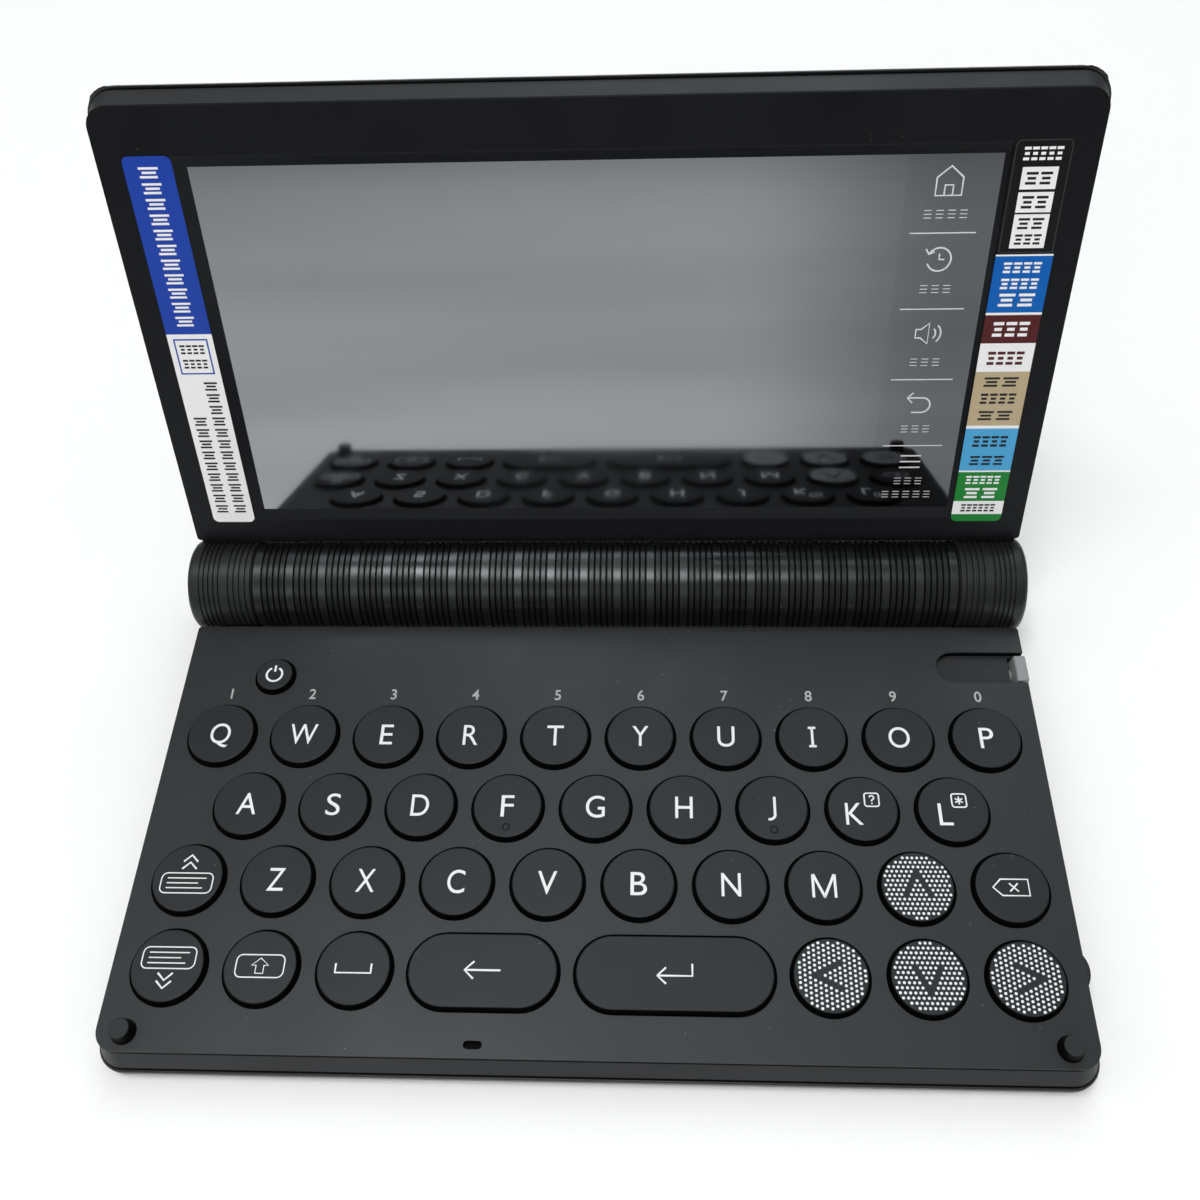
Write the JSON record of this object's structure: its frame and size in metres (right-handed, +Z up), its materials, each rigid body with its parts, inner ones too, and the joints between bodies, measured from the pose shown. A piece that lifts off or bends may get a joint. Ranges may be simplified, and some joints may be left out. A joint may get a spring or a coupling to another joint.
{
  "type": "electronic dictionary",
  "caption": "Folding pocket electronic dictionary: round-key keyboard base, display lid on a round battery barrel hinge, stored stylus.",
  "frame": {"origin": "on the table, in the middle of the footprint of the opened dictionary", "axes": "+X to the user's right along the hinge, +Y from the keyboard's front edge to the hinge, +Z up from the table"},
  "size_m": [0.148, 0.1199, 0.0858],
  "materials": {
    "shell": "satin black moulded plastic",
    "panel": "dark charcoal satin panel",
    "bezel": "near-black satin bezel",
    "barrel": "satin black with fine grip ribs",
    "key_cap": "dark charcoal satin keys, printed on top",
    "keypad_rubber": "soft grey rubber sheet",
    "circuit_board": "green circuit board",
    "speaker_can": "plain metal can",
    "microphone_can": "plain metal can",
    "bumper_rubber": "black rubber stop",
    "foot_rubber": "black rubber foot",
    "screw_steel": "zinc-plated screw",
    "cell_jacket": "wrapped round cell",
    "contact_steel": "plated spring steel",
    "pin_steel": "ground steel pin",
    "stylus_grey": "light grey plastic",
    "display": "grey display module",
    "touch_glass": "glossy touch glass over a grey display"
  },
  "bodies": {
    "base": {"base_bottom_cover": "shell", "base_side_frame": "shell", "base_top_panel": "panel", "keypad_membrane": "keypad_rubber", "main_board": "circuit_board", "speaker": "speaker_can", "microphone": "microphone_can", "corner_bumpers": "bumper_rubber", "rubber_feet": "foot_rubber", "case_screws": "screw_steel", "battery_barrel": "barrel", "battery_cells": "cell_jacket", "battery_contacts": "contact_steel", "hinge_pins": "pin_steel"},
    "battery_door": {"battery_door": "barrel"},
    "stylus": {"stylus": "stylus_grey"},
    "lid": {"lid_back_cover": "shell", "lid_side_frame": "shell", "lid_bezel": "bezel", "lcd_panel": "display", "touch_glass": "touch_glass", "hinge_knuckles": "barrel"},
    "key_power": {"key_power": "key_cap"},
    "key_q": {"key_q": "key_cap"},
    "key_w": {"key_w": "key_cap"},
    "key_e": {"key_e": "key_cap"},
    "key_r": {"key_r": "key_cap"},
    "key_t": {"key_t": "key_cap"},
    "key_y": {"key_y": "key_cap"},
    "key_u": {"key_u": "key_cap"},
    "key_i": {"key_i": "key_cap"},
    "key_o": {"key_o": "key_cap"},
    "key_p": {"key_p": "key_cap"},
    "key_a": {"key_a": "key_cap"},
    "key_s": {"key_s": "key_cap"},
    "key_d": {"key_d": "key_cap"},
    "key_f": {"key_f": "key_cap"},
    "key_g": {"key_g": "key_cap"},
    "key_h": {"key_h": "key_cap"},
    "key_j": {"key_j": "key_cap"},
    "key_k": {"key_k": "key_cap"},
    "key_l": {"key_l": "key_cap"},
    "key_previous": {"key_previous": "key_cap"},
    "key_z": {"key_z": "key_cap"},
    "key_x": {"key_x": "key_cap"},
    "key_c": {"key_c": "key_cap"},
    "key_v": {"key_v": "key_cap"},
    "key_b": {"key_b": "key_cap"},
    "key_n": {"key_n": "key_cap"},
    "key_m": {"key_m": "key_cap"},
    "key_up": {"key_up": "key_cap"},
    "key_delete": {"key_delete": "key_cap"},
    "key_next": {"key_next": "key_cap"},
    "key_shift": {"key_shift": "key_cap"},
    "key_space": {"key_space": "key_cap"},
    "key_back": {"key_back": "key_cap"},
    "key_enter": {"key_enter": "key_cap"},
    "key_left": {"key_left": "key_cap"},
    "key_down": {"key_down": "key_cap"},
    "key_right": {"key_right": "key_cap"}
  },
  "joints": [
    {"name": "lid_hinge", "type": "hinge", "parent": "base", "child": "lid", "pos_m": [0, 0.02429, 0.00865], "axis": [-1, 0, 0], "range_deg": [-110.5, 34.5]},
    {"name": "stylus_slide", "type": "slide", "parent": "base", "child": "stylus", "axis": [1, 0, 0], "range_m": [0, 0.078]},
    {"name": "battery_door_lift", "type": "slide", "parent": "base", "child": "battery_door", "axis": [0, 0.6428, -0.766], "range_m": [0, 0.012]},
    {"name": "key_power_press", "type": "slide", "parent": "base", "child": "key_power", "axis": [0, 0, -1], "range_m": [0, 0.0008], "stiffness_N_per_m": 650, "springref_m": -0.0003},
    {"name": "key_q_press", "type": "slide", "parent": "base", "child": "key_q", "axis": [0, 0, -1], "range_m": [0, 0.0008], "stiffness_N_per_m": 650, "springref_m": -0.0003},
    {"name": "key_w_press", "type": "slide", "parent": "base", "child": "key_w", "axis": [0, 0, -1], "range_m": [0, 0.0008], "stiffness_N_per_m": 650, "springref_m": -0.0003},
    {"name": "key_e_press", "type": "slide", "parent": "base", "child": "key_e", "axis": [0, 0, -1], "range_m": [0, 0.0008], "stiffness_N_per_m": 650, "springref_m": -0.0003},
    {"name": "key_r_press", "type": "slide", "parent": "base", "child": "key_r", "axis": [0, 0, -1], "range_m": [0, 0.0008], "stiffness_N_per_m": 650, "springref_m": -0.0003},
    {"name": "key_t_press", "type": "slide", "parent": "base", "child": "key_t", "axis": [0, 0, -1], "range_m": [0, 0.0008], "stiffness_N_per_m": 650, "springref_m": -0.0003},
    {"name": "key_y_press", "type": "slide", "parent": "base", "child": "key_y", "axis": [0, 0, -1], "range_m": [0, 0.0008], "stiffness_N_per_m": 650, "springref_m": -0.0003},
    {"name": "key_u_press", "type": "slide", "parent": "base", "child": "key_u", "axis": [0, 0, -1], "range_m": [0, 0.0008], "stiffness_N_per_m": 650, "springref_m": -0.0003},
    {"name": "key_i_press", "type": "slide", "parent": "base", "child": "key_i", "axis": [0, 0, -1], "range_m": [0, 0.0008], "stiffness_N_per_m": 650, "springref_m": -0.0003},
    {"name": "key_o_press", "type": "slide", "parent": "base", "child": "key_o", "axis": [0, 0, -1], "range_m": [0, 0.0008], "stiffness_N_per_m": 650, "springref_m": -0.0003},
    {"name": "key_p_press", "type": "slide", "parent": "base", "child": "key_p", "axis": [0, 0, -1], "range_m": [0, 0.0008], "stiffness_N_per_m": 650, "springref_m": -0.0003},
    {"name": "key_a_press", "type": "slide", "parent": "base", "child": "key_a", "axis": [0, 0, -1], "range_m": [0, 0.0008], "stiffness_N_per_m": 650, "springref_m": -0.0003},
    {"name": "key_s_press", "type": "slide", "parent": "base", "child": "key_s", "axis": [0, 0, -1], "range_m": [0, 0.0008], "stiffness_N_per_m": 650, "springref_m": -0.0003},
    {"name": "key_d_press", "type": "slide", "parent": "base", "child": "key_d", "axis": [0, 0, -1], "range_m": [0, 0.0008], "stiffness_N_per_m": 650, "springref_m": -0.0003},
    {"name": "key_f_press", "type": "slide", "parent": "base", "child": "key_f", "axis": [0, 0, -1], "range_m": [0, 0.0008], "stiffness_N_per_m": 650, "springref_m": -0.0003},
    {"name": "key_g_press", "type": "slide", "parent": "base", "child": "key_g", "axis": [0, 0, -1], "range_m": [0, 0.0008], "stiffness_N_per_m": 650, "springref_m": -0.0003},
    {"name": "key_h_press", "type": "slide", "parent": "base", "child": "key_h", "axis": [0, 0, -1], "range_m": [0, 0.0008], "stiffness_N_per_m": 650, "springref_m": -0.0003},
    {"name": "key_j_press", "type": "slide", "parent": "base", "child": "key_j", "axis": [0, 0, -1], "range_m": [0, 0.0008], "stiffness_N_per_m": 650, "springref_m": -0.0003},
    {"name": "key_k_press", "type": "slide", "parent": "base", "child": "key_k", "axis": [0, 0, -1], "range_m": [0, 0.0008], "stiffness_N_per_m": 650, "springref_m": -0.0003},
    {"name": "key_l_press", "type": "slide", "parent": "base", "child": "key_l", "axis": [0, 0, -1], "range_m": [0, 0.0008], "stiffness_N_per_m": 650, "springref_m": -0.0003},
    {"name": "key_previous_press", "type": "slide", "parent": "base", "child": "key_previous", "axis": [0, 0, -1], "range_m": [0, 0.0008], "stiffness_N_per_m": 650, "springref_m": -0.0003},
    {"name": "key_z_press", "type": "slide", "parent": "base", "child": "key_z", "axis": [0, 0, -1], "range_m": [0, 0.0008], "stiffness_N_per_m": 650, "springref_m": -0.0003},
    {"name": "key_x_press", "type": "slide", "parent": "base", "child": "key_x", "axis": [0, 0, -1], "range_m": [0, 0.0008], "stiffness_N_per_m": 650, "springref_m": -0.0003},
    {"name": "key_c_press", "type": "slide", "parent": "base", "child": "key_c", "axis": [0, 0, -1], "range_m": [0, 0.0008], "stiffness_N_per_m": 650, "springref_m": -0.0003},
    {"name": "key_v_press", "type": "slide", "parent": "base", "child": "key_v", "axis": [0, 0, -1], "range_m": [0, 0.0008], "stiffness_N_per_m": 650, "springref_m": -0.0003},
    {"name": "key_b_press", "type": "slide", "parent": "base", "child": "key_b", "axis": [0, 0, -1], "range_m": [0, 0.0008], "stiffness_N_per_m": 650, "springref_m": -0.0003},
    {"name": "key_n_press", "type": "slide", "parent": "base", "child": "key_n", "axis": [0, 0, -1], "range_m": [0, 0.0008], "stiffness_N_per_m": 650, "springref_m": -0.0003},
    {"name": "key_m_press", "type": "slide", "parent": "base", "child": "key_m", "axis": [0, 0, -1], "range_m": [0, 0.0008], "stiffness_N_per_m": 650, "springref_m": -0.0003},
    {"name": "key_up_press", "type": "slide", "parent": "base", "child": "key_up", "axis": [0, 0, -1], "range_m": [0, 0.0008], "stiffness_N_per_m": 650, "springref_m": -0.0003},
    {"name": "key_delete_press", "type": "slide", "parent": "base", "child": "key_delete", "axis": [0, 0, -1], "range_m": [0, 0.0008], "stiffness_N_per_m": 650, "springref_m": -0.0003},
    {"name": "key_next_press", "type": "slide", "parent": "base", "child": "key_next", "axis": [0, 0, -1], "range_m": [0, 0.0008], "stiffness_N_per_m": 650, "springref_m": -0.0003},
    {"name": "key_shift_press", "type": "slide", "parent": "base", "child": "key_shift", "axis": [0, 0, -1], "range_m": [0, 0.0008], "stiffness_N_per_m": 650, "springref_m": -0.0003},
    {"name": "key_space_press", "type": "slide", "parent": "base", "child": "key_space", "axis": [0, 0, -1], "range_m": [0, 0.0008], "stiffness_N_per_m": 650, "springref_m": -0.0003},
    {"name": "key_back_press", "type": "slide", "parent": "base", "child": "key_back", "axis": [0, 0, -1], "range_m": [0, 0.0008], "stiffness_N_per_m": 650, "springref_m": -0.0003},
    {"name": "key_enter_press", "type": "slide", "parent": "base", "child": "key_enter", "axis": [0, 0, -1], "range_m": [0, 0.0008], "stiffness_N_per_m": 650, "springref_m": -0.0003},
    {"name": "key_left_press", "type": "slide", "parent": "base", "child": "key_left", "axis": [0, 0, -1], "range_m": [0, 0.0008], "stiffness_N_per_m": 650, "springref_m": -0.0003},
    {"name": "key_down_press", "type": "slide", "parent": "base", "child": "key_down", "axis": [0, 0, -1], "range_m": [0, 0.0008], "stiffness_N_per_m": 650, "springref_m": -0.0003},
    {"name": "key_right_press", "type": "slide", "parent": "base", "child": "key_right", "axis": [0, 0, -1], "range_m": [0, 0.0008], "stiffness_N_per_m": 650, "springref_m": -0.0003}
  ]
}
